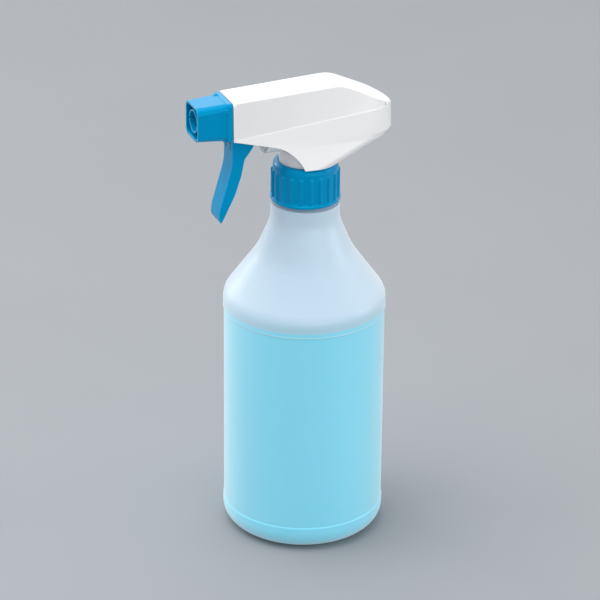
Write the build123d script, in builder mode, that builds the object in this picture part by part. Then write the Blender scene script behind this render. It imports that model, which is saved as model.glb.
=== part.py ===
from build123d import *

import math
import os

# Trigger spray bottle, 500 ml class, on a 28-410 screw neck.
# Frame: millimetres, +Z up, +X the way it sprays, mirror plane Y = 0.
# Origin: centre of the standing ring, on the bottle's axis.

# ---------------------------------------------------------------- driving dimensions
BOTTLE_R = 37.5          # heel and shoulder bands
PANEL_R = 37.15          # recessed label panel
WALL = 1.2               # blown wall
PANEL_BOTTOM = 11.7
PANEL_TOP = 110.2
PANEL_STEP = 0.7         # height of the sloping step into the panel
HEEL_FILLET = 9.0
STAND_R = 26.0           # inside of the standing ring
PUSH_UP = 2.6            # height of the hollow under the base
SHOULDER_Z = 117.5       # corner between the straight side and the shoulder cone
WAIST = (22.4, 138.5)    # (radius, height) where the cone bends up to the neck
NECK_R = 15.8
NECK_FOOT_Z = 154.0
FINISH_Z = 162.4         # foot of the threaded neck finish
LIQUID_Z = 112.0         # fill level

RIM_Z = 178.3            # top of the bottle
FINISH_R = 12.6          # thread root on the bottle
BORE_R = 10.9            # inside of the neck
PITCH = 4.233            # six turns to the inch
THREAD_TURNS = 1.5
THREAD_Z = 167.8         # centre of the neck thread's first section
THREAD_DEPTH = 1.1

COLLAR_Z = 164.2
COLLAR_TOP = 182.8
COLLAR_R = 15.0          # smooth band, between the ribs
RIB_R = 15.85            # over the ribs
RIB_COUNT = 21
RIB_TIP = 0.9            # radius of a rib's crown
RIB_START = 9.5          # degrees from +X to the first rib
FOOT_BAND = 1.2          # height of the plain band under the ribs
COLLAR_BORE = 14.1
LIP_T = 1.7
LIP_R = 12.6             # hole in the collar's top

WASHER_Z = RIM_Z + 0.05
WASHER_T = 0.95
FLANGE_Z = WASHER_Z + WASHER_T
FLANGE_R = 13.4
FLANGE_T = COLLAR_TOP - LIP_T - 0.3 - FLANGE_Z
SKIRT_R = 12.3           # round neck of the pump body
SKIRT_TOP = 189.2
SKIRT_WALL = 1.4

NOZZLE_Z = 208.5         # outlet barrel and nozzle axis
BARREL_R = 4.2
BARREL_END = 45.2
BEAD_X = 42.4            # bead that holds the nozzle on
PUMP_Z = 195.9           # pump cylinder axis
PUMP_R = 7.1
PUMP_BORE = 5.9
PUMP_BACK = 7.0          # end wall of the bore
PUMP_MOUTH = 20.9
RISER_R = 4.6
RISER_BORE = 1.8
BALL_R = 1.9
BALL_BORE = 3.0
SEAT_Z = 184.9           # top of the inlet valve seat
PORT_R = 1.3

PIVOT_X = 29.6           # trigger pivot, on the barrel's axis height
PIN_R = 1.7
PIN_END = 6.6            # half length over both pins
TRIGGER_HALF = 5.4
TRIGGER_WALL = 1.2
ARM_IN = 4.6             # inside faces of the trigger's fork
ARM_OUT = 6.0
PAD_R = 1.5              # round bar that pushes the piston

VALVE_SEAT_X = 28.8
VALVE_BORE = 2.6         # front part of the barrel bore, past the seat

PISTON_BACK = 13.4       # open end of the piston at rest
PISTON_FRONT = 21.6
PISTON_R = 5.65
VENT_X = 18.6            # groove of the ring that covers the air vent
PUSH_R = 3.0             # round push rod
PUSH_END = 27.2

TUBE_R = 2.6
TUBE_BORE = 1.9
TUBE_TOP = 177.4
TUBE_END = 6.0

SHROUD_FRONT = 38.4
NOSE_HALF = 9.3          # half width of the nose
NOSE_Z = 199.7           # lower front corner
RIDGE_Z = 199.9          # ridge along each side, at the nose
RIDGE_RISE = 0.104       # its rise towards the tail, per mm
ROOF_Z = 218.0           # roof at the nose
ROOF_PEAK = (-14.0, 219.9)
ROOF_FALL = 0.49         # slope behind the peak
SHROUD_BACK = -40.5
SHROUD_WALL = 1.2
SHROUD_FOOT = COLLAR_TOP + 0.3
FOOT_R = 15.4
TAIL_Z = 194.6           # lower corner of the back
TAIL_R = 14.0
RECESS = 0.4             # depth of the side panels
PANEL_BACK = -34.5       # their rear end
EDGE_FILLET = 1.8

FLANGE_BACK = 38.7       # nozzle flange
FLANGE_FRONT = 40.8
FLANGE_HALF = 9.2
ROOT_HALF = 8.75         # nozzle shell beside the flange
NOZZLE_FRONT = 54.6
NOZZLE_HALF = 8.0
NOZZLE_WALL = 1.0
NOZZLE_CORNER = 3.2      # corner radius at the open end
RING_R = 5.4             # ring round the spray orifice
RUN_FIT = 0.08           # radial play of parts that turn on each other

os.makedirs("parts", exist_ok=True)


def save(builder, name):
    """Labels a finished piece and writes it as its own file."""
    builder.part.label = name
    export_step(builder.part, f"parts/{name}.step")


def closed(points):
    """A filled outline through straight runs, added to the sketch that is open."""
    Polygon(*points, align=None)


def x_axis(height):
    """The line parallel to X at that height in the mirror plane."""
    return Axis((0, 0, height), (1, 0, 0))


# ---------------------------------------------------------------- bottle and contents
def bottle_outline(inset):
    """Half section of the bottle, moved inward by inset, from the axis up to the neck bore."""
    radius = BOTTLE_R - inset
    panel = PANEL_R - inset
    corners = [
        (STAND_R - 4 + inset / 2, PUSH_UP + inset),
        (STAND_R + inset / 2, inset),
        (radius, inset),
        (radius, PANEL_BOTTOM),
        (panel, PANEL_BOTTOM + PANEL_STEP),
        (panel, PANEL_TOP - PANEL_STEP),
        (radius, PANEL_TOP),
        (radius, SHOULDER_Z),
        (WAIST[0] - inset, WAIST[1]),
        (NECK_R - inset, NECK_FOOT_Z),
    ]
    radii = [1.0, 0.8, HEEL_FILLET - inset, 0.3, 0.4, 0.4, 0.3, 9.0 - inset, 34.0, 16.0]
    return corners, radii


def bottle_body(inset, top):
    """Solid of revolution for the outside (inset 0) or the inside of the blown bottle."""
    corners, radii = bottle_outline(inset)
    first = (0, corners[0][1])
    last = (NECK_R - inset, top)
    with BuildPart() as body:
        with BuildSketch(Plane.XZ):
            with BuildLine():
                side = FilletPolyline(first, *corners, last, radius=radii)
                Polyline(side @ 1, (0, top), first)
            make_face()
        revolve(axis=Axis.Z)
    return body.part


with BuildPart() as bottle:
    add(bottle_body(0, FINISH_Z))
    # threaded finish, a little narrower than the neck under it
    with BuildSketch(Plane.XZ):
        closed([
            (0, FINISH_Z - 1), (NECK_R - 1, FINISH_Z - 1), (NECK_R - 1, FINISH_Z),
            (FINISH_R, FINISH_Z + 0.8), (FINISH_R, RIM_Z - 0.5), (FINISH_R - 0.5, RIM_Z), (0, RIM_Z),
        ])
    revolve(axis=Axis.Z)
    with BuildLine() as neck_helix:
        Helix(PITCH, PITCH * THREAD_TURNS, FINISH_R, center=(0, 0, THREAD_Z))
    section = Plane(neck_helix.line @ 0, x_dir=(1, 0, 0), z_dir=neck_helix.line % 0)
    with BuildSketch(section):
        closed([
            (-0.3, -1.15), (0, -1.05), (THREAD_DEPTH, -0.45), (THREAD_DEPTH, 0.45), (0, 1.05), (-0.3, 1.15),
        ])
    sweep(path=neck_helix.line, is_frenet=True)
    add(bottle_body(WALL, FINISH_Z - 4), mode=Mode.SUBTRACT)
    with BuildSketch(Plane.XZ):
        closed([
            (0, FINISH_Z - 8), (NECK_R - WALL - 0.1, FINISH_Z - 8), (NECK_R - WALL - 0.1, FINISH_Z - 4),
            (BORE_R, FINISH_Z - 0.5), (BORE_R, RIM_Z + 1), (0, RIM_Z + 1),
        ])
    revolve(axis=Axis.Z, mode=Mode.SUBTRACT)
save(bottle, "bottle")

with BuildPart() as liquid:
    add(bottle_body(WALL + 0.05, FINISH_Z - 4))
    split(bisect_by=Plane.XY.offset(LIQUID_Z), keep=Keep.BOTTOM)
    with Locations((0, 0, TUBE_END - 1)):
        Cylinder(TUBE_R + 0.3, LIQUID_Z, align=(Align.CENTER, Align.CENTER, Align.MIN), mode=Mode.SUBTRACT)
save(liquid, "liquid")

# ---------------------------------------------------------------- closure
with BuildPart() as collar:
    with BuildSketch(Plane.XZ):
        closed([
            (COLLAR_BORE, COLLAR_Z), (RIB_R, COLLAR_Z), (RIB_R + 0.25, COLLAR_Z + 0.3),
            (RIB_R + 0.25, COLLAR_Z + FOOT_BAND), (COLLAR_R, COLLAR_Z + FOOT_BAND + 0.6),
            (COLLAR_R, COLLAR_TOP - 2.6), (COLLAR_R - 0.3, COLLAR_TOP - 1.2),
            (COLLAR_R - 0.9, COLLAR_TOP - 0.4), (COLLAR_R - 1.8, COLLAR_TOP),
            (LIP_R, COLLAR_TOP), (LIP_R, COLLAR_TOP - LIP_T), (COLLAR_BORE, COLLAR_TOP - LIP_T),
        ])
    revolve(axis=Axis.Z)
    # grip ribs with round crowns
    rib_low = COLLAR_Z + FOOT_BAND - 0.4
    rib_high = COLLAR_TOP - 5.2
    with PolarLocations(RIB_R - RIB_TIP, RIB_COUNT, start_angle=RIB_START):
        with Locations((0, 0, rib_low)):
            Cylinder(RIB_TIP, rib_high - rib_low, align=(Align.CENTER, Align.CENTER, Align.MIN))
        with Locations((0, 0, rib_high)):
            Sphere(RIB_TIP)
    with BuildLine() as collar_helix:
        Helix(PITCH, PITCH, COLLAR_BORE, center=(0, 0, THREAD_Z - PITCH / 2))
    section = Plane(collar_helix.line @ 0, x_dir=(1, 0, 0), z_dir=collar_helix.line % 0)
    with BuildSketch(section):
        closed([
            (0.3, -1.05), (0, -0.95), (-THREAD_DEPTH, -0.4), (-THREAD_DEPTH, 0.4), (0, 0.95), (0.3, 1.05),
        ])
    sweep(path=collar_helix.line, is_frenet=True)
save(collar, "collar")

with BuildPart() as washer:
    with BuildSketch(Plane.XY.offset(WASHER_Z)):
        Circle(FINISH_R - 0.1)
        Circle(BORE_R + 0.1, mode=Mode.SUBTRACT)
    extrude(amount=WASHER_T - 0.02)
save(washer, "neck_washer")

# ---------------------------------------------------------------- pump body and valves
with BuildPart() as housing:
    with BuildSketch(Plane.XZ):
        closed([
            (SKIRT_R - SKIRT_WALL, FLANGE_Z), (FLANGE_R, FLANGE_Z), (FLANGE_R, FLANGE_Z + FLANGE_T),
            (SKIRT_R, FLANGE_Z + FLANGE_T), (SKIRT_R, SKIRT_TOP), (0, SKIRT_TOP), (0, SKIRT_TOP - 1.6),
            (SKIRT_R - SKIRT_WALL, SKIRT_TOP - 1.6),
        ])
    revolve(axis=Axis.Z)
    # riser from the inlet valve to the outlet barrel
    with Locations((0, 0, SEAT_Z - 1.7)):
        Cylinder(RISER_R, NOZZLE_Z - SEAT_Z + 1.7, align=(Align.CENTER, Align.CENTER, Align.MIN))
    # pump cylinder, outlet barrel, and the web between them
    with BuildSketch(Plane.YZ.offset(1.5)):
        with Locations((0, PUMP_Z)):
            Circle(PUMP_R)
    extrude(amount=PUMP_MOUTH - 1.5)
    with BuildSketch(Plane.YZ.offset(-6.0)):
        with Locations((0, NOZZLE_Z)):
            Circle(BARREL_R)
    extrude(amount=BARREL_END + 6.0)
    with BuildSketch(Plane.YZ.offset(BEAD_X)):
        with Locations((0, NOZZLE_Z)):
            Circle(BARREL_R + 0.3)
    extrude(amount=0.8)
    with BuildSketch(Plane.XZ):
        closed([
            (0, PUMP_Z), (18, PUMP_Z), (14, NOZZLE_Z), (-5, NOZZLE_Z), (-10, SKIRT_TOP - 1),
            (0, SKIRT_TOP - 1),
        ])
    extrude(amount=0.8, both=True)
    # pivot pins and the shoulders behind the trigger's fork
    with BuildSketch(Plane.XZ):
        with Locations((PIVOT_X, NOZZLE_Z)):
            Circle(PIN_R)
    extrude(amount=PIN_END, both=True)
    # bores: inlet chamber, riser, pump cylinder with its port, barrel
    with BuildSketch(Plane.XZ):
        closed([
            (0, SEAT_Z - 2), (BALL_BORE, SEAT_Z - 2), (BALL_BORE, SEAT_Z + 0.2),
            (BALL_R + 0.4, SEAT_Z + 0.6), (BALL_R + 0.4, SEAT_Z + 4.1),
            (RISER_BORE - 0.4, SEAT_Z + 5.1), (RISER_BORE - 0.4, NOZZLE_Z), (0, NOZZLE_Z),
        ])
    revolve(axis=Axis.Z, mode=Mode.SUBTRACT)
    with BuildSketch(Plane.YZ.offset(PUMP_BACK)):
        with Locations((0, PUMP_Z)):
            Circle(PUMP_BORE)
    extrude(amount=PUMP_MOUTH, mode=Mode.SUBTRACT)
    with BuildSketch(Plane.YZ):
        with Locations((0, PUMP_Z)):
            Circle(PORT_R)
    extrude(amount=PUMP_MOUTH, mode=Mode.SUBTRACT)
    with BuildSketch(Plane.YZ.offset(-3.0)):
        with Locations((0, NOZZLE_Z)):
            Circle(RISER_BORE)
    extrude(amount=BARREL_END + 4, mode=Mode.SUBTRACT)
    with BuildSketch(Plane.YZ.offset(VALVE_SEAT_X)):
        with Locations((0, NOZZLE_Z)):
            Circle(VALVE_BORE)
    extrude(amount=BARREL_END, mode=Mode.SUBTRACT)
save(housing, "pump_housing")

with BuildPart() as retainer:
    socket_r = BALL_BORE + 1.2
    spigot_r = BALL_BORE - 0.02
    land_r = SKIRT_R - SKIRT_WALL - 0.02
    with BuildSketch(Plane.XZ):
        closed([
            (TUBE_R + 0.02, SEAT_Z - 15.5), (TUBE_R + 0.6, SEAT_Z - 15.5),
            (socket_r, SEAT_Z - 13.5), (socket_r, SEAT_Z - 3.3),
            (9.3, SEAT_Z - 3.3), (9.3, SEAT_Z - 10), (10.4, SEAT_Z - 10), (10.4, FLANGE_Z),
            (land_r, FLANGE_Z + 0.6), (land_r, SEAT_Z - 2.1),
            (spigot_r, SEAT_Z - 2.1), (spigot_r, SEAT_Z), (2.4, SEAT_Z), (1.2, SEAT_Z - 1.2),
            (1.2, TUBE_TOP + 0.05), (TUBE_R + 0.02, TUBE_TOP + 0.05),
        ])
    revolve(axis=Axis.Z)
save(retainer, "tube_retainer")

with BuildPart() as tube:
    with Locations((0, 0, TUBE_END)):
        Cylinder(TUBE_R, TUBE_TOP - TUBE_END, align=(Align.CENTER, Align.CENTER, Align.MIN))
        Cylinder(TUBE_BORE, TUBE_TOP, align=(Align.CENTER, Align.CENTER, Align.MIN), mode=Mode.SUBTRACT)
    # slanted foot
    with BuildSketch(Plane.XZ):
        closed([(-TUBE_R - 1, TUBE_END - 1), (TUBE_R + 1, TUBE_END - 1), (-TUBE_R - 1, TUBE_END + 6)])
    extrude(amount=TUBE_R + 1, both=True, mode=Mode.SUBTRACT)
save(tube, "dip_tube")

ball_z = SEAT_Z - 2.4 + BALL_R * math.sqrt(2) + 0.03
with BuildPart() as ball:
    with Locations((0, 0, ball_z)):
        Sphere(BALL_R)
save(ball, "inlet_ball")


def coil(radius, wire, length, turns):
    """A compression spring along +Z from the origin, with closed end turns."""
    with BuildPart() as spring:
        with BuildLine() as path:
            Helix((length - 2 * wire) / turns, length - 2 * wire, radius, center=(0, 0, wire))
        with BuildSketch(Plane(path.line @ 0, x_dir=(1, 0, 0), z_dir=path.line % 0)):
            Circle(wire)
        sweep(path=path.line, is_frenet=True)
    return spring.part


with BuildPart() as return_spring:
    with Locations(Location((PUMP_BACK + 0.1, 0, PUMP_Z), (0, 90, 0))):
        add(coil(4.2, 0.4, PISTON_BACK + 5.8 - PUMP_BACK - 0.2, 6.5))
save(return_spring, "return_spring")

crown_r = PISTON_R - 0.5
with BuildPart() as piston:
    # open behind for the spring, with a groove for the vent ring and a round push rod in front
    with BuildSketch(Plane.XZ):
        closed([
            (PISTON_BACK + 5.8, PUMP_Z), (PISTON_BACK + 5.8, PUMP_Z + 4.8), (PISTON_BACK, PUMP_Z + 4.8),
            (PISTON_BACK, PUMP_Z + crown_r), (PISTON_BACK + 2.4, PUMP_Z + crown_r),
            (PISTON_BACK + 2.4, PUMP_Z + PISTON_R), (VENT_X, PUMP_Z + PISTON_R),
            (VENT_X, PUMP_Z + crown_r), (VENT_X + 1.6, PUMP_Z + crown_r),
            (VENT_X + 1.6, PUMP_Z + PISTON_R), (PISTON_FRONT, PUMP_Z + PISTON_R),
            (PISTON_FRONT, PUMP_Z + PUSH_R), (PUSH_END - 0.6, PUMP_Z + PUSH_R),
            (PUSH_END, PUMP_Z + PUSH_R - 0.6), (PUSH_END, PUMP_Z),
        ])
    revolve(axis=x_axis(PUMP_Z))
save(piston, "piston")

with BuildPart() as cup:
    with BuildSketch(Plane.XZ):
        closed([
            (PISTON_BACK + 0.2, PUMP_Z + PISTON_R - 0.48), (PISTON_BACK + 2.3, PUMP_Z + PISTON_R - 0.48),
            (PISTON_BACK + 2.3, PUMP_Z + PISTON_R), (PISTON_BACK + 0.5, PUMP_Z + PUMP_BORE - 0.04),
            (PISTON_BACK + 0.2, PUMP_Z + PUMP_BORE - 0.04),
        ])
    revolve(axis=x_axis(PUMP_Z))
save(cup, "piston_cup")

with BuildPart() as vent_ring:
    with BuildSketch(Plane.XZ):
        closed([
            (VENT_X + 0.1, PUMP_Z + PISTON_R - 0.48), (VENT_X + 1.5, PUMP_Z + PISTON_R - 0.48),
            (VENT_X + 1.5, PUMP_Z + PISTON_R), (VENT_X + 1.1, PUMP_Z + PUMP_BORE - 0.04),
            (VENT_X + 0.5, PUMP_Z + PUMP_BORE - 0.04), (VENT_X + 0.1, PUMP_Z + PISTON_R),
        ])
    revolve(axis=x_axis(PUMP_Z))
save(vent_ring, "vent_ring")

valve_x = VALVE_SEAT_X + 0.03
with BuildPart() as valve:
    with BuildSketch(Plane.XZ):
        closed([
            (valve_x - 1.2, NOZZLE_Z), (valve_x, NOZZLE_Z + 1.2), (valve_x, NOZZLE_Z + VALVE_BORE - 0.35),
            (valve_x + 1.2, NOZZLE_Z + VALVE_BORE - 0.35), (valve_x + 1.2, NOZZLE_Z + 0.9),
            (valve_x + 5.0, NOZZLE_Z + 0.9), (valve_x + 5.0, NOZZLE_Z),
        ])
    revolve(axis=x_axis(NOZZLE_Z))
save(valve, "outlet_valve")

with BuildPart() as valve_spring:
    with Locations(Location((valve_x + 1.25, 0, NOZZLE_Z), (0, 90, 0))):
        add(coil(1.6, 0.22, 8.6, 7))
save(valve_spring, "outlet_spring")

with BuildPart() as spinner:
    spinner_x = valve_x + 10.0
    with BuildSketch(Plane.YZ.offset(spinner_x)):
        with Locations((0, NOZZLE_Z)):
            Circle(VALVE_BORE - 0.02)
    extrude(amount=BARREL_END - spinner_x)
    with BuildSketch(Plane.YZ.offset(BARREL_END)):
        with Locations((0, NOZZLE_Z)):
            Circle(BARREL_R - 0.9)
    extrude(amount=0.8)
    # two feed flats along the plug and the swirl slots across its face
    with BuildSketch(Plane.YZ.offset(spinner_x - 1)):
        with Locations((VALVE_BORE, NOZZLE_Z), (-VALVE_BORE, NOZZLE_Z)):
            Rectangle(1.4, 1.6)
    extrude(amount=BARREL_END + 2 - spinner_x, mode=Mode.SUBTRACT)
    with BuildSketch(Plane.YZ.offset(BARREL_END + 0.4)):
        with Locations((0, NOZZLE_Z)):
            Circle(1.1)
            Rectangle(2 * BARREL_R, 0.7)
    extrude(amount=1, mode=Mode.SUBTRACT)
save(spinner, "spinner")

# ---------------------------------------------------------------- trigger
# side outline of the blade: finger face from the top down to the tip, then up the back
face = [
    (36.2, 203.9), (36.2, 199.5), (37.4, 198.3), (37.4, 186.0), (43.4, 165.6), (43.8, 161.4),
    (43.0, 158.8),
]
face_radii = [0.5, 0.6, 0.8, 30.0, 9.0, 1.0, 0.5]
rear = [
    (41.6, 161.2), (36.2, 172.0), (33.2, 181.0), (31.6, 188.8), (27.4, 194.4), (26.8, 199.0),
    (26.8, 203.9),
]
rear_radii = [0.8, 12.0, 12.0, 4.0, 3.0, 3.0, 1.5]
# hollow between the side plates, open to the rear
hollow = [
    (34.9, 225), (34.9, 199.7), (36.0, 198.5), (36.0, 186.0), (41.6, 166.2), (40.9, 163.8),
    (20.0, 163.8), (20.0, 225),
]
hollow_radii = [0.5, 0.6, 0.8, 30.0, 4.0, 0.5, 0.5, 0.5]
pad_x = PUSH_END + 0.3 + PAD_R

with BuildPart() as trigger:
    with BuildSketch(Plane.XZ):
        with BuildLine():
            FilletPolyline(*face, *rear, close=True, radius=face_radii + rear_radii)
        make_face()
    extrude(amount=TRIGGER_HALF, both=True)
    # fork arms with round eyes on the pivot pins
    with BuildSketch(Plane.XZ):
        closed([
            (27.0, 196.6), (36.2, 200.0), (36.2, 203.0), (PIVOT_X + 3.6, NOZZLE_Z), (PIVOT_X - 3.6, NOZZLE_Z),
        ])
        with Locations((PIVOT_X, NOZZLE_Z)):
            Circle(3.9)
    extrude(amount=ARM_OUT, both=True)
    with BuildSketch(Plane.XZ):
        with BuildLine():
            FilletPolyline(*hollow, close=True, radius=hollow_radii)
        make_face()
    extrude(amount=TRIGGER_HALF - TRIGGER_WALL, both=True, mode=Mode.SUBTRACT)
    # room for the barrel between the arms
    with BuildSketch(Plane.XZ):
        closed([(20, 203.9), (45, 203.9), (45, 220), (20, 220)])
    extrude(amount=ARM_IN, both=True, mode=Mode.SUBTRACT)
    # bar that pushes the piston, on a web from the finger face
    with BuildSketch(Plane.XZ):
        with Locations((pad_x, PUMP_Z)):
            Circle(PAD_R)
        closed([(pad_x, PUMP_Z - 0.6), (36.6, PUMP_Z - 0.6), (36.6, PUMP_Z + 0.6), (pad_x, PUMP_Z + 0.6)])
    extrude(amount=TRIGGER_HALF - 0.5, both=True)
    with BuildSketch(Plane.XZ):
        with Locations((PIVOT_X, NOZZLE_Z)):
            Circle(PIN_R + RUN_FIT)
    extrude(amount=ARM_OUT + 1, both=True, mode=Mode.SUBTRACT)
    # two slots at the top of the finger face
    with BuildSketch(Plane.YZ.offset(35.4)):
        with Locations((2.8, 196.0), (-2.8, 196.0)):
            SlotOverall(5.4, 0.9, rotation=90)
    extrude(amount=4, mode=Mode.SUBTRACT)
save(trigger, "trigger")

# ---------------------------------------------------------------- nozzle
socket_top = NOZZLE_Z + BARREL_R + RUN_FIT
groove_top = NOZZLE_Z + 4.8
with BuildPart() as nozzle:
    with BuildSketch(Plane.YZ.offset(FLANGE_BACK)):
        with Locations((0, NOZZLE_Z)):
            RectangleRounded(2 * FLANGE_HALF, 2 * FLANGE_HALF, 1.6)
    extrude(amount=FLANGE_FRONT - FLANGE_BACK)
    # tapered square shell, open to the front
    with BuildSketch(Plane.YZ.offset(FLANGE_FRONT)):
        with Locations((0, NOZZLE_Z)):
            RectangleRounded(2 * ROOT_HALF, 2 * ROOT_HALF, NOZZLE_CORNER - 0.4)
    with BuildSketch(Plane.YZ.offset(NOZZLE_FRONT)):
        with Locations((0, NOZZLE_Z)):
            RectangleRounded(2 * NOZZLE_HALF, 2 * NOZZLE_HALF, NOZZLE_CORNER)
    loft()
    inner_half = NOZZLE_HALF - NOZZLE_WALL
    with BuildSketch(Plane.YZ.offset(FLANGE_FRONT + 1.6)):
        with Locations((0, NOZZLE_Z)):
            RectangleRounded(2 * inner_half, 2 * inner_half, NOZZLE_CORNER - 0.8)
    extrude(amount=NOZZLE_FRONT, mode=Mode.SUBTRACT)
    # hub on the barrel, and the ring round the spray orifice
    with BuildSketch(Plane.YZ.offset(FLANGE_FRONT)):
        with Locations((0, NOZZLE_Z)):
            Circle(RING_R)
    extrude(amount=NOZZLE_FRONT - 0.6 - FLANGE_FRONT)
    # ribs that tie the ring to the shell
    with BuildSketch(Plane.YZ.offset(FLANGE_FRONT)):
        with Locations((0, NOZZLE_Z + RING_R + 1.0), (0, NOZZLE_Z - RING_R - 1.0)):
            Rectangle(1.2, 2.6)
    extrude(amount=NOZZLE_FRONT - 4.0 - FLANGE_FRONT)
    # stepped hole along the axis: barrel, retaining groove, orifice, flared front
    with BuildSketch(Plane.XZ):
        closed([
            (FLANGE_BACK - 1, NOZZLE_Z), (BARREL_END + 1.1, NOZZLE_Z), (BARREL_END + 1.1, socket_top),
            (BEAD_X + 1.1, socket_top), (BEAD_X + 1.1, groove_top), (BEAD_X - 0.3, groove_top),
            (BEAD_X - 0.3, socket_top), (FLANGE_BACK - 1, socket_top),
        ])
        closed([
            (BARREL_END, NOZZLE_Z), (BARREL_END + 4, NOZZLE_Z), (BARREL_END + 4, NOZZLE_Z + 0.4),
            (BARREL_END, NOZZLE_Z + 0.4),
        ])
        closed([
            (BARREL_END + 1.9, NOZZLE_Z), (BARREL_END + 2.7, NOZZLE_Z + 1.3),
            (BARREL_END + 2.7, NOZZLE_Z + 4.5), (NOZZLE_FRONT + 1, NOZZLE_Z + 4.6), (NOZZLE_FRONT + 1, NOZZLE_Z),
        ])
    revolve(axis=x_axis(NOZZLE_Z), mode=Mode.SUBTRACT)
    # slot across the ring
    with BuildSketch(Plane.YZ.offset(NOZZLE_FRONT - 3.2)):
        with Locations((0, NOZZLE_Z)):
            Rectangle(2 * RING_R + 0.4, 0.7)
    extrude(amount=3.2, mode=Mode.SUBTRACT)
    # a position nib near one corner of each side of the flange
    with BuildSketch(Plane.YZ.offset(FLANGE_FRONT - 0.2)):
        with Locations((0, NOZZLE_Z)):
            with PolarLocations(0, 4):
                with Locations((ROOT_HALF - 0.1, 6.1)):
                    Rectangle(1.0, 1.6)
    extrude(amount=1.5)
save(nozzle, "nozzle_cap")


# ---------------------------------------------------------------- shroud
def plan(height, rise, nose, tail_r, back, front_x):
    """Outline on a level or tilted plane: straight nose, sides running tangent into a round tail."""
    centre = back + tail_r
    reach = math.hypot(front_x - centre, nose)
    angle = math.atan2(nose, front_x - centre) + math.acos(tail_r / reach)
    side = (centre + tail_r * math.cos(angle), tail_r * math.sin(angle))
    with BuildSketch(Plane((0, 0, height), x_dir=(1, 0, -rise), z_dir=(rise, 0, 1))) as outline:
        with BuildLine():
            Polyline((side[0], -side[1]), (front_x, -nose), (front_x, nose), side)
            ThreePointArc(side, (back, 0), (side[0], -side[1]))
        make_face()
    return outline.sketch.face()


def ridge_at(x):
    """Height of the side ridges at that place along the shroud."""
    return RIDGE_Z + RIDGE_RISE * (SHROUD_FRONT - x)


def shroud_block(inset, roof_inset, foot_z, foot_r, tail_z):
    """Solid in the shape of the shroud, its sides moved in by inset and its roof down by roof_inset."""
    back = SHROUD_BACK + inset
    front_x = SHROUD_FRONT - inset
    high = ROOF_PEAK[1] + 0.5
    with BuildPart() as block:
        # flares from the roof and the side ridges down to the tail, then runs in to the round foot
        loft(
            [
                plan(foot_z, 0, 12.8 - inset, foot_r, -foot_r, front_x),
                plan(tail_z - 1.0, 0, 10.7 - inset, TAIL_R - inset, back + 2.4, front_x),
                plan(tail_z + 1.6, 0, 10.1 - inset, TAIL_R - 0.2 - inset, back, front_x),
                plan(ridge_at(0), RIDGE_RISE, NOSE_HALF + 0.2 - inset, 12.3 - inset, back, front_x),
                plan(high, 0, NOSE_HALF - inset, 9.6 - inset, back, front_x),
            ],
            ruled=True,
        )
        # roof line
        nose_roof = ROOF_Z - roof_inset
        peak = (ROOF_PEAK[0] + roof_inset / 4, ROOF_PEAK[1] - roof_inset)
        roof_end = peak[1] - ROOF_FALL * (peak[0] + 60)
        with BuildSketch(Plane.XZ):
            closed([(60, 150), (60, nose_roof), (SHROUD_FRONT, nose_roof), peak, (-60, roof_end), (-60, 150)])
        extrude(amount=30, both=True, mode=Mode.INTERSECT)
    return block.part


def beside(edge, x, y, z):
    """Whether the edge's middle is at that place, on either side of the mirror plane."""
    middle = edge.center()
    return abs(middle.X - x) < 1 and abs(abs(middle.Y) - y) < 1 and abs(middle.Z - z) < 1


with BuildPart() as panels:
    # flat recess in each side, from the ridge up to where it runs out in the rounded roof edge
    add(shroud_block(-1, -1, SHROUD_FOOT, FOOT_R, TAIL_Z))
    nose_x = SHROUD_FRONT - 1.3
    with BuildSketch(Plane.XZ):
        closed([
            (nose_x, ridge_at(nose_x) + 0.1), (nose_x, 222), (-20, 222), (PANEL_BACK, 211),
            (PANEL_BACK, ridge_at(PANEL_BACK) + 0.1),
        ])
    extrude(amount=30, both=True, mode=Mode.INTERSECT)
    add(shroud_block(RECESS, -RECESS, SHROUD_FOOT, FOOT_R, TAIL_Z), mode=Mode.SUBTRACT)

with BuildPart() as cavity:
    add(shroud_block(SHROUD_WALL, SHROUD_WALL, SHROUD_FOOT + 1.0, FOOT_R - SHROUD_WALL, TAIL_Z + 1.3))
    with BuildSketch(Plane.XY.offset(SHROUD_FOOT - 2)):
        Circle(FOOT_R - SHROUD_WALL)
        with Locations((20, 0)):
            Rectangle(40, 2 * (FOOT_R - 2.2))
    extrude(amount=4)

with BuildPart() as shroud:
    add(shroud_block(0, 0, SHROUD_FOOT, FOOT_R, TAIL_Z))
    fillet(shroud.edges().filter_by(lambda e: beside(e, ROOF_PEAK[0], 0, ROOF_PEAK[1])), 18)
    fillet(shroud.edges().filter_by(lambda e: beside(e, 15.0, 9.6, 218.8)), EDGE_FILLET)
    add(panels.part, mode=Mode.SUBTRACT)
    add(cavity.part, mode=Mode.SUBTRACT)
    # mouth for the trigger: the front lower edge sweeps up from the foot to the nose
    with BuildSketch(Plane.XZ):
        with BuildLine():
            edge = ThreePointArc((5.6, SHROUD_FOOT - 1), (10.8, 190.2), (19.4, 195.1))
            Polyline(edge @ 1, (SHROUD_FRONT, NOSE_Z), (60, NOSE_Z), (60, 170), (5.6, 170), edge @ 0)
        make_face()
    extrude(amount=30, both=True, mode=Mode.SUBTRACT)
    # hole for the barrel, and the rib that rests on it
    with BuildSketch(Plane.YZ.offset(30)):
        with Locations((0, NOZZLE_Z)):
            Circle(BARREL_R + 0.12)
    extrude(amount=10, mode=Mode.SUBTRACT)
    with BuildSketch(Plane.XZ):
        closed([
            (0, NOZZLE_Z + BARREL_R + 0.03), (26, NOZZLE_Z + BARREL_R + 0.03), (26, ROOF_Z - 0.4),
            (0, ROOF_PEAK[1] - 0.8),
        ])
    extrude(amount=0.7, both=True)
save(shroud, "shroud")
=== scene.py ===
import math

import bpy
from mathutils import Matrix, Vector


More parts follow.
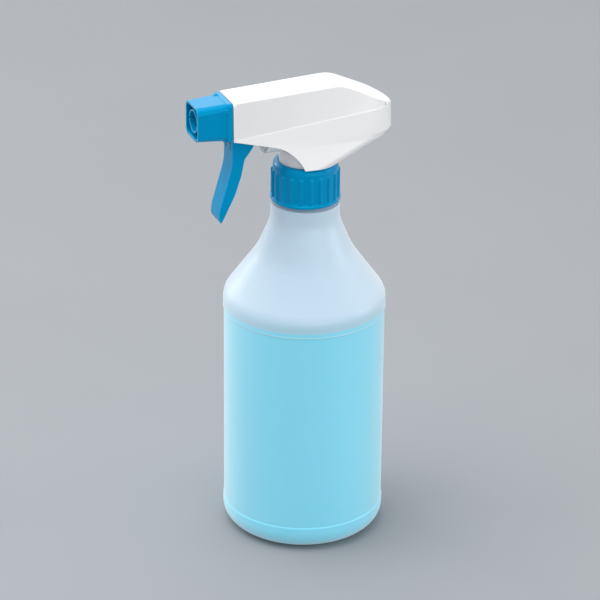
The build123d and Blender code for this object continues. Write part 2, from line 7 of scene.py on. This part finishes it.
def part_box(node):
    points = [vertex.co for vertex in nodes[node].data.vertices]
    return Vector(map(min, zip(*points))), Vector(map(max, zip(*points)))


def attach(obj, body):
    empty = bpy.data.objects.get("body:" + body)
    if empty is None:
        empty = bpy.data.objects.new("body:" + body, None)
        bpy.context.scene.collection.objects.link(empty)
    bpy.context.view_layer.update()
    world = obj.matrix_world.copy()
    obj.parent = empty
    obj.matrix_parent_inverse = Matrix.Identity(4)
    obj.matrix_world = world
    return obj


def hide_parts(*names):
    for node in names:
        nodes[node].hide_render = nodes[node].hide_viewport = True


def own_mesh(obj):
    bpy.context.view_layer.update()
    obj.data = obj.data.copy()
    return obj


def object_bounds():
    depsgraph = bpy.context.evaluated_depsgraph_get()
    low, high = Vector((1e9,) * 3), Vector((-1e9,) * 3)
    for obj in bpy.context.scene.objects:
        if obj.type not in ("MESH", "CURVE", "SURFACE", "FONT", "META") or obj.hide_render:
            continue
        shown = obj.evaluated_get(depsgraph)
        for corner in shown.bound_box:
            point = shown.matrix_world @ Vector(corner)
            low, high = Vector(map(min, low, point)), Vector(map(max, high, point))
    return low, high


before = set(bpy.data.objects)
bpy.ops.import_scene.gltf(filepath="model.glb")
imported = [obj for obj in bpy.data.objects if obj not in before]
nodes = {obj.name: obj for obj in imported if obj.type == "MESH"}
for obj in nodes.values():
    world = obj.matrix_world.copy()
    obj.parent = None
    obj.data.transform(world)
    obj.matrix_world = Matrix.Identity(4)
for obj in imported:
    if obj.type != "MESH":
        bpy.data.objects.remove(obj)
cad_low, cad_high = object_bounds()
scene = bpy.context.scene

# Lengths are in metres, and texture scales in features per metre.
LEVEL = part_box("liquid")[1][2]     # surface of the liquid
PANEL_HIGH = LEVEL - 0.0018        # painted highlight line at the top of the side panel
RING_HALF = 0.0005                 # half the height of that painted highlight line
LEVEL_BELOW = 0.0005               # the liquid's colour starts to fade this far below the surface
LEVEL_ABOVE = 0.0008               # and has gone this far above it
GLOW = 0.009                       # height over which the tint above the surface fades

# The part of its range that a noise texture mostly stays in
NOISE_LOW = 0.3
NOISE_HIGH = 0.7

# Cosine between a face's normal and its rounded normal, on flat faces and along edges
FLAT_COSINE = 0.995
EDGE_COSINE = 0.9


# ---------------------------------------------------------------- node helpers
def material(name, base, roughness, **principled):
    """A new material with a Principled shader, its plain values set on the shader's own sockets."""
    mat = bpy.data.materials.new(name)
    mat.use_nodes = True
    shader = mat.node_tree.nodes["Principled BSDF"]
    shader.inputs["Base Color"].default_value = (*base, 1)
    shader.inputs["Roughness"].default_value = roughness
    for key, value in principled.items():
        shader.inputs[key.replace("_", " ")].default_value = value
    return mat, shader


def noise(mat, scale, detail, upright=1):
    """Noise on object coordinates, drawn out vertically where upright is below 1."""
    tree = mat.node_tree
    coords = tree.nodes.new("ShaderNodeTexCoord")
    mapping = tree.nodes.new("ShaderNodeMapping")
    mapping.inputs["Scale"].default_value = (1, 1, upright)
    node = tree.nodes.new("ShaderNodeTexNoise")
    node.inputs["Scale"].default_value = scale
    node.inputs["Detail"].default_value = detail
    tree.links.new(coords.outputs["Object"], mapping.inputs["Vector"])
    tree.links.new(mapping.outputs["Vector"], node.inputs["Vector"])
    return node.outputs["Fac"]


def ramp(mat, value, dark, light, low=NOISE_LOW, high=NOISE_HIGH):
    """Maps value between low and high onto the colours from dark to light."""
    node = mat.node_tree.nodes.new("ShaderNodeValToRGB")
    mat.node_tree.links.new(value, node.inputs["Fac"])
    for element, place, colour in zip(node.color_ramp.elements, (low, high), (dark, light)):
        element.position = place
        element.color = (*colour, 1)
    return node.outputs["Color"]


def spread(mat, value, low, high):
    """Maps value 0..1 onto low..high."""
    node = mat.node_tree.nodes.new("ShaderNodeMapRange")
    mat.node_tree.links.new(value, node.inputs["Value"])
    node.inputs["To Min"].default_value = low
    node.inputs["To Max"].default_value = high
    return node.outputs["Result"]


def step_up(mat, value, start, end):
    """0 at start and 1 at end, with a soft run between them."""
    node = mat.node_tree.nodes.new("ShaderNodeMapRange")
    node.interpolation_type = "SMOOTHSTEP"
    node.inputs["From Min"].default_value = start
    node.inputs["From Max"].default_value = end
    mat.node_tree.links.new(value, node.inputs["Value"])
    return node.outputs["Result"]


def blend(mat, factor, low, high):
    """Mixes two colour outputs by a factor."""
    node = mat.node_tree.nodes.new("ShaderNodeMix")
    node.data_type = "RGBA"
    mat.node_tree.links.new(factor, node.inputs["Factor"])
    mat.node_tree.links.new(low, node.inputs["A"])
    mat.node_tree.links.new(high, node.inputs["B"])
    return node.outputs["Result"]


def bump(mat, shader, height, strength, distance, below=None):
    """Adds a bump to the shader, on top of one below it."""
    node = mat.node_tree.nodes.new("ShaderNodeBump")
    node.inputs["Strength"].default_value = strength
    node.inputs["Distance"].default_value = distance
    mat.node_tree.links.new(height, node.inputs["Height"])
    if below is not None:
        mat.node_tree.links.new(below, node.inputs["Normal"])
    mat.node_tree.links.new(node.outputs["Normal"], shader.inputs["Normal"])
    return node.outputs["Normal"]


def soft_edges(mat, radius):
    """A normal that rounds the sharp edges of the moulding."""
    node = mat.node_tree.nodes.new("ShaderNodeBevel")
    node.samples = 6
    node.inputs["Radius"].default_value = radius
    return node.outputs["Normal"]


def edge_mask(mat, radius):
    """1 along sharp edges, 0 on flat faces."""
    tree = mat.node_tree
    geometry = tree.nodes.new("ShaderNodeNewGeometry")
    match = tree.nodes.new("ShaderNodeVectorMath")
    match.operation = "DOT_PRODUCT"
    tree.links.new(soft_edges(mat, radius), match.inputs[0])
    tree.links.new(geometry.outputs["Normal"], match.inputs[1])
    return step_up(mat, match.outputs["Value"], FLAT_COSINE, EDGE_COSINE)


def height_of(mat):
    """Height above the standing ring."""
    coords = mat.node_tree.nodes.new("ShaderNodeTexCoord")
    split = mat.node_tree.nodes.new("ShaderNodeSeparateXYZ")
    mat.node_tree.links.new(coords.outputs["Object"], split.inputs["Vector"])
    return split.outputs["Z"]


def ring(mat, height, centre, half):
    """1 at a height, falling to 0 a half width above and below it."""
    gap = mat.node_tree.nodes.new("ShaderNodeMath")
    gap.operation = "SUBTRACT"
    gap.inputs[1].default_value = centre
    mat.node_tree.links.new(height, gap.inputs[0])
    away = mat.node_tree.nodes.new("ShaderNodeMath")
    away.operation = "ABSOLUTE"
    mat.node_tree.links.new(gap.outputs["Value"], away.inputs[0])
    return step_up(mat, away.outputs["Value"], half, 0)


# ---------------------------------------------------------------- materials
def moulded(name, base, roughness, grain=0.1, shade=0.05, edge=0.00035, rim=None, **principled):
    """Injection-moulded plastic: faint flow shading, uneven gloss, a satin grain and soft edges.

    edge is the radius that sharp edges seem to have; the paler colour given for them is painted onto those
    edges as a highlight.
    """
    mat, shader = material(name, base, roughness, **principled)
    flow = noise(mat, 28, detail=3, upright=0.5)
    dark = [c * (1 - shade) for c in base]
    light = [min(1, c * (1 + shade)) for c in base]
    colour = ramp(mat, flow, dark, light)
    # painted highlight: the rim colour is laid along hollow and proud edges alike
    if rim is not None:
        painted_highlight = ramp(mat, flow, [c * (1 - shade) for c in rim], rim, low=0.2, high=0.8)
        colour = blend(mat, edge_mask(mat, 2 * edge), colour, painted_highlight)
    mat.node_tree.links.new(colour, shader.inputs["Base Color"])
    gloss = noise(mat, 240, detail=4)
    uneven = spread(mat, gloss, roughness - 0.07, roughness + 0.07)
    mat.node_tree.links.new(uneven, shader.inputs["Roughness"])
    wave = noise(mat, 60, detail=2)
    soft = bump(mat, shader, wave, strength=0.12, distance=0.0006, below=soft_edges(mat, edge))
    fine = noise(mat, 1100, detail=2)
    bump(mat, shader, fine, strength=grain, distance=0.00003, below=soft)
    return mat


def filled_wall(name):
    """Milky blown polyethylene that takes the colour of the liquid behind it, up to its level."""
    mat, shader = material(
        name,
        (0.5, 0.64, 0.76),
        0.34,
        Subsurface_Weight=0.15,
        Subsurface_Scale=0.0006,
        IOR=1.45,
        Sheen_Weight=0.7,
        Sheen_Roughness=0.6,
    )
    links = mat.node_tree.links
    height = height_of(mat)
    cloud = noise(mat, 14, detail=3, upright=0.35)
    wet = ramp(mat, cloud, (0.165, 0.635, 0.82), (0.195, 0.675, 0.85))
    # painted highlight: a paler ring along the top line of the side panel
    line_highlight = ramp(mat, cloud, (0.4, 0.74, 0.87), (0.44, 0.78, 0.9))
    tinted = ramp(mat, cloud, (0.33, 0.56, 0.68), (0.36, 0.59, 0.71))
    dry = ramp(mat, cloud, (0.41, 0.545, 0.65), (0.445, 0.575, 0.68))
    filled = blend(mat, ring(mat, height, PANEL_HIGH, RING_HALF), wet, line_highlight)
    empty = blend(mat, step_up(mat, height, LEVEL, LEVEL + GLOW), tinted, dry)
    above = step_up(mat, height, LEVEL - LEVEL_BELOW, LEVEL + LEVEL_ABOVE)
    links.new(blend(mat, above, filled, empty), shader.inputs["Base Color"])
    smudge = noise(mat, 45, detail=5)
    links.new(spread(mat, smudge, 0.28, 0.42), shader.inputs["Roughness"])
    sink = noise(mat, 22, detail=2, upright=0.4)
    soft = bump(mat, shader, sink, strength=0.1, distance=0.0012)
    peel = noise(mat, 900, detail=2)
    bump(mat, shader, peel, strength=0.06, distance=0.00004, below=soft)
    return mat


def painted_floor(name, near, far):
    """Matt grey floor with a faint mottle, painted paler between two distances from the object as painted
    light where the lamps reach less.
    """
    mat, shader = material(name, (0.29, 0.3, 0.32), 0.8, Specular_IOR_Level=0.2)
    links = mat.node_tree.links
    coords = mat.node_tree.nodes.new("ShaderNodeTexCoord")
    distance = mat.node_tree.nodes.new("ShaderNodeVectorMath")
    distance.operation = "LENGTH"
    links.new(coords.outputs["Object"], distance.inputs[0])
    # painted light: the floor turns paler far out, where less lamp light reaches
    far_painted_light = step_up(mat, distance.outputs["Value"], near, far)
    mottle = noise(mat, 6, detail=4)
    near_grey = ramp(mat, mottle, (0.288, 0.299, 0.316), (0.297, 0.309, 0.326))
    painted_light_grey = ramp(mat, mottle, (0.46, 0.475, 0.5), (0.475, 0.49, 0.515))
    links.new(blend(mat, far_painted_light, near_grey, painted_light_grey), shader.inputs["Base Color"])
    grit = noise(mat, 700, detail=3)
    bump(mat, shader, grit, strength=0.1, distance=0.0001)
    return mat


# the rim colours in these calls are painted highlights along the edges
blue = moulded(
    "blue_polypropylene",
    (0.0, 0.24, 0.47),
    0.24,
    grain=0.04,
    rim=(0.0, 0.36, 0.64),
    Specular_IOR_Level=0.45,
    Specular_Tint=(0.05, 0.55, 1.0, 1),
)
white = moulded(
    "white_polypropylene", (0.74, 0.735, 0.735), 0.36, grain=0.05, shade=0.02, rim=(0.81, 0.81, 0.81)
)
natural = moulded("natural_polypropylene", (0.7, 0.71, 0.7), 0.45, shade=0.03)
foam = moulded("foamed_washer", (0.8, 0.8, 0.77), 0.75, grain=0.6)
seal = moulded("soft_seal", (0.6, 0.61, 0.58), 0.55)
steel = moulded("spring_steel", (0.6, 0.61, 0.62), 0.25, edge=0.0001, Metallic=1.0)
tube = moulded("tube_polyethylene", (0.78, 0.81, 0.82), 0.35)
wall = filled_wall("milky_polyethylene")
fluid = moulded("cleaning_liquid", (0.03, 0.5, 0.76), 0.12, grain=0.0)

looks = {
    "bottle": wall,
    "liquid": fluid,
    "collar": blue,
    "trigger": blue,
    "nozzle_cap": blue,
    "shroud": white,
    "pump_housing": white,
    "neck_washer": foam,
    "tube_retainer": natural,
    "piston": natural,
    "outlet_valve": natural,
    "spinner": natural,
    "dip_tube": tube,
    "inlet_ball": steel,
    "return_spring": steel,
    "outlet_spring": steel,
    "piston_cup": seal,
    "vent_ring": seal,
}
for name, look in looks.items():
    mesh = nodes[name].data
    mesh.materials.clear()
    mesh.materials.append(look)


# ---------------------------------------------------------------- springs
STEPS = 24    # points in each turn


def coil_points(start, end, wire, radius, turns, height):
    """Points of a compression spring along X, with one closed turn at each end. wire is a radius."""
    closed = 2 * wire
    pitch = (end - start - 2 * wire - 2 * closed) / (turns - 2)
    points = []
    for step in range(turns * STEPS + 1):
        turn = step / STEPS
        first = min(turn, 1)
        last = max(turn - (turns - 1), 0)
        x = start + wire + closed * (first + last) + pitch * (turn - first - last)
        angle = 2 * math.pi * turn
        points.append((x, radius * math.sin(angle), height + radius * math.cos(angle)))
    return points


def wire_mesh(name, points, wire):
    """A round wire of that radius through the points."""
    curve = bpy.data.curves.new(name, "CURVE")
    curve.dimensions = "3D"
    curve.bevel_depth = wire
    curve.bevel_resolution = 4
    curve.use_fill_caps = True
    line = curve.splines.new("POLY")
    line.points.add(len(points) - 1)
    for point, place in zip(line.points, points):
        point.co = (*place, 1)
    sketch = bpy.data.objects.new(name + "_line", curve)
    mesh = bpy.data.meshes.new_from_object(sketch)
    bpy.data.objects.remove(sketch)
    for face in mesh.polygons:
        face.use_smooth = True
    mesh.materials.clear()
    mesh.materials.append(steel)
    return mesh


def spring(name, node, wire, turns):
    """A round-wire spring in place of the CAD node, attached to the sprayer's body."""
    low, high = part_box(node)
    radius = (high[2] - low[2]) / 2 - wire
    points = coil_points(low[0], high[0], wire, radius, turns, (low[2] + high[2]) / 2)
    piece = bpy.data.objects.new(name, wire_mesh(name, points, wire))
    scene.collection.objects.link(piece)
    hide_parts(node)
    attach(piece, "sprayer")
    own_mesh(piece)


spring("return_coil", "return_spring", wire=0.0004, turns=7)
spring("outlet_coil", "outlet_spring", wire=0.0002, turns=9)

# ---------------------------------------------------------------- floor
FLOOR_HALF = 6.0                   # half the floor's width
NEAR = 1.2                         # the floor's painted light starts here
FAR = 4.0                          # to here

corners = [(x * FLOOR_HALF, y * FLOOR_HALF, 0) for x, y in ((-1, -1), (1, -1), (1, 1), (-1, 1))]
floor_mesh = bpy.data.meshes.new("floor")
floor_mesh.from_pydata(corners, [], [(0, 1, 2, 3)])
floor_mesh.materials.append(painted_floor("floor", NEAR, FAR))
floor = bpy.data.objects.new("floor", floor_mesh)
scene.collection.objects.link(floor)
floor.location.z = cad_low.z

# ---------------------------------------------------------------- light
AIM = Vector((0, 0, 0.11))         # half way up the object, where the lamps and the camera point

world = bpy.data.worlds.new("studio")
world.use_nodes = True
background = world.node_tree.nodes["Background"]
background.inputs["Color"].default_value = (0.96, 0.98, 1.0, 1)
background.inputs["Strength"].default_value = 0.8
scene.world = world
scene.view_settings.view_transform = "Standard"


def direction(azimuth, elevation):
    """Unit vector from the aim at that azimuth and elevation, in degrees. Azimuth 0 is -Y, and 90 is +X."""
    turn = math.radians(azimuth)
    rise = math.radians(elevation)
    level = math.cos(rise)
    return Vector((math.sin(turn) * level, -math.cos(turn) * level, math.sin(rise)))


def softbox(name, azimuth, elevation, distance, size, radiance):
    """A rectangular area light that faces the object and stays out of every view."""
    light = bpy.data.lights.new(name, "AREA")
    light.shape = "RECTANGLE"
    light.size, light.size_y = size
    light.energy = radiance * math.pi * light.size * light.size_y
    lamp = bpy.data.objects.new(name, light)
    lamp.visible_camera = False
    outward = direction(azimuth, elevation)
    lamp.location = AIM + outward * distance
    lamp.rotation_mode = "QUATERNION"
    lamp.rotation_quaternion = (-outward).to_track_quat("-Z", "Y")
    scene.collection.objects.link(lamp)


softbox("top", azimuth=90, elevation=76, distance=1.4, size=(1.1, 1.1), radiance=3.5)
softbox("back", azimuth=340, elevation=28, distance=3.0, size=(5.2, 1.6), radiance=1.0)
softbox("rim", azimuth=28, elevation=14, distance=2.8, size=(1.0, 1.2), radiance=3.8)
softbox("left", azimuth=70, elevation=38, distance=1.4, size=(0.9, 0.8), radiance=1.6)
softbox("front", azimuth=185, elevation=7, distance=3.0, size=(3.2, 0.8), radiance=2.7)
softbox("right", azimuth=246, elevation=10, distance=2.8, size=(1.4, 1.2), radiance=3.2)

# ---------------------------------------------------------------- camera
AZIMUTH = 158                      # degrees
ELEVATION = 25.25                  # degrees
ROLL = math.radians(0.572)
DISTANCE = 1.5
LENS = 194.85                      # millimetres
SENSOR = 36                        # millimetres
SHIFT_X = -0.00706                 # share of the picture's width
SHIFT_Y = 0.0065                   # share of the picture's width
CLIP_END = 30

back = direction(AZIMUTH, ELEVATION)
right = Vector((0, 0, 1)).cross(back).normalized()
up = back.cross(right)
tilted_right = right * math.cos(ROLL) + up * math.sin(ROLL)
tilted_up = up * math.cos(ROLL) - right * math.sin(ROLL)
place = Matrix((tilted_right, tilted_up, back)).transposed().to_4x4()
place.translation = AIM + back * DISTANCE

camera_data = bpy.data.cameras.new("camera")
camera_data.sensor_width = SENSOR
camera_data.lens = LENS
camera_data.shift_x = SHIFT_X
camera_data.shift_y = SHIFT_Y
camera_data.clip_end = CLIP_END
camera = bpy.data.objects.new("camera", camera_data)
camera.matrix_world = place
scene.collection.objects.link(camera)
scene.camera = camera
